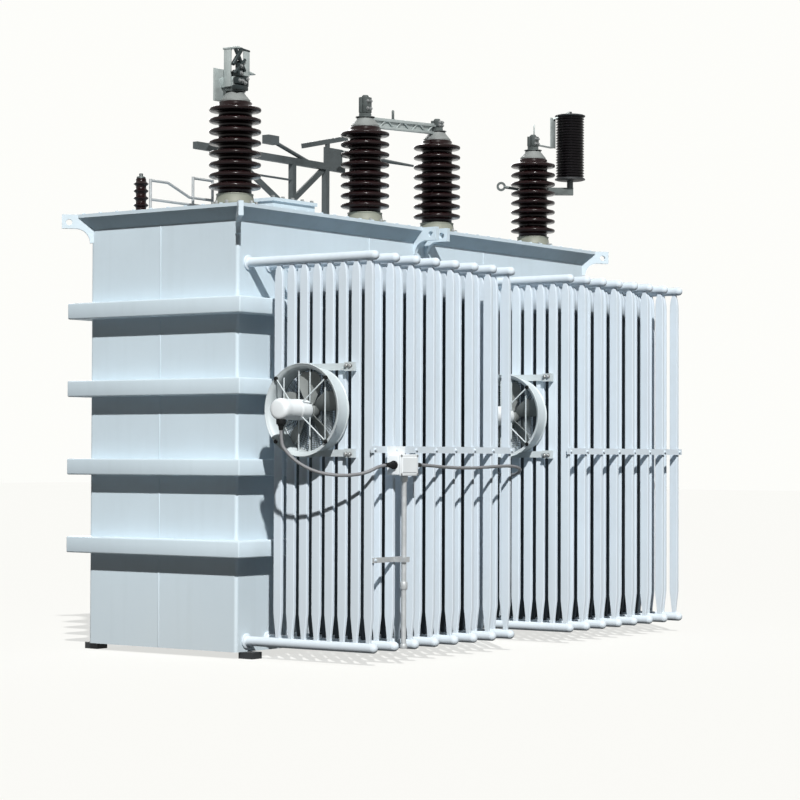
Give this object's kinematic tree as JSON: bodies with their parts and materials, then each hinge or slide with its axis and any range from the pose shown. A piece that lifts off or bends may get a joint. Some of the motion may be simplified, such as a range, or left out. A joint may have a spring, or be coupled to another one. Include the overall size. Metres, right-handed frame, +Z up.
{
  "type": "power transformer",
  "caption": "Oil filled power transformer: belted steel tank with porcelain bushings on its cover and fan cooled banks of radiator fins along one side.",
  "frame": {"origin": "middle of the tank in plan, on the floor", "axes": "+X along the tank, from the end that the first fan faces; +Y away from the radiators; +Z up"},
  "size_m": [4.949, 2.726, 4.204],
  "materials": {
    "galvanised_steel": "galvanised",
    "dark_steel": "matt dark steel",
    "dark_porcelain": "glossy dark brown glaze",
    "radiator_paint": "satin pale blue grey paint",
    "frame_steel": "weathered galvanised",
    "ring_paint": "satin cream grey",
    "terminal_metal": "weathered aluminium",
    "brown_porcelain": "glossy brown glaze",
    "tank_paint": "satin pale blue grey paint",
    "fan_paint": "satin grey paint",
    "cable_sheath": "grey sheath",
    "motor_paint": "satin white paint",
    "rotor_grey": "cast grey",
    "rim_paint": "satin slate paint"
  },
  "bodies": {
    "transformer": {"arrester_bracket": "galvanised_steel", "arrester_caps": "dark_steel", "arrester_housing": "dark_porcelain", "bank_1_fin_row_1": "radiator_paint", "bank_1_fin_row_2": "radiator_paint", "bank_1_fin_row_3": "radiator_paint", "bank_1_fin_row_4": "radiator_paint", "bank_1_fin_row_5": "radiator_paint", "bank_1_fin_row_6": "radiator_paint", "bank_1_fin_row_7": "radiator_paint", "bank_1_fin_row_8": "radiator_paint", "bank_1_headers": "radiator_paint", "bank_2_fin_row_1": "radiator_paint", "bank_2_fin_row_2": "radiator_paint", "bank_2_fin_row_3": "radiator_paint", "bank_2_fin_row_4": "radiator_paint", "bank_2_fin_row_5": "radiator_paint", "bank_2_fin_row_6": "radiator_paint", "bank_2_fin_row_7": "radiator_paint", "bank_2_fin_row_8": "radiator_paint", "bank_2_headers": "radiator_paint", "base_skids": "dark_steel", "bus_bar": "frame_steel", "bus_frame": "frame_steel", "bushing_base_rings": "ring_paint", "bushing_caps": "terminal_metal", "bushing_flanges": "dark_steel", "bushing_link": "terminal_metal", "bushing_porcelains": "brown_porcelain", "bushing_studs": "terminal_metal", "conduit": "galvanised_steel", "conduit_clamp": "galvanised_steel", "cover_plate": "tank_paint", "cover_rail": "galvanised_steel", "fan_1_brackets": "fan_paint", "fan_1_cable": "cable_sheath", "fan_1_guard": "fan_paint", "fan_1_motor": "motor_paint", "fan_1_ring": "fan_paint", "fan_2_brackets": "fan_paint", "fan_2_cable": "cable_sheath", "fan_2_guard": "fan_paint", "fan_2_motor": "motor_paint", "fan_2_ring": "fan_paint", "hatch_box": "tank_paint", "hatch_lid": "tank_paint", "junction_box": "motor_paint", "junction_box_plate": "motor_paint", "lifting_lugs": "tank_paint", "line_terminal": "terminal_metal", "radiator_straps": "radiator_paint", "small_bushing": "brown_porcelain", "stiffener_belts": "tank_paint", "tank_body": "tank_paint", "tank_rim": "rim_paint"},
    "rotor_1": {"fan_1_rotor": "rotor_grey"},
    "rotor_2": {"fan_2_rotor": "rotor_grey"}
  },
  "joints": [
    {"name": "fan_1_spin", "type": "hinge", "parent": "transformer", "child": "rotor_1", "pos_m": [-2.184, -1.27, 1.657], "axis": [1, 0, 0], "continuous": true},
    {"name": "fan_2_spin", "type": "hinge", "parent": "transformer", "child": "rotor_2", "pos_m": [0.206, -1.27, 1.657], "axis": [1, 0, 0], "continuous": true}
  ]
}
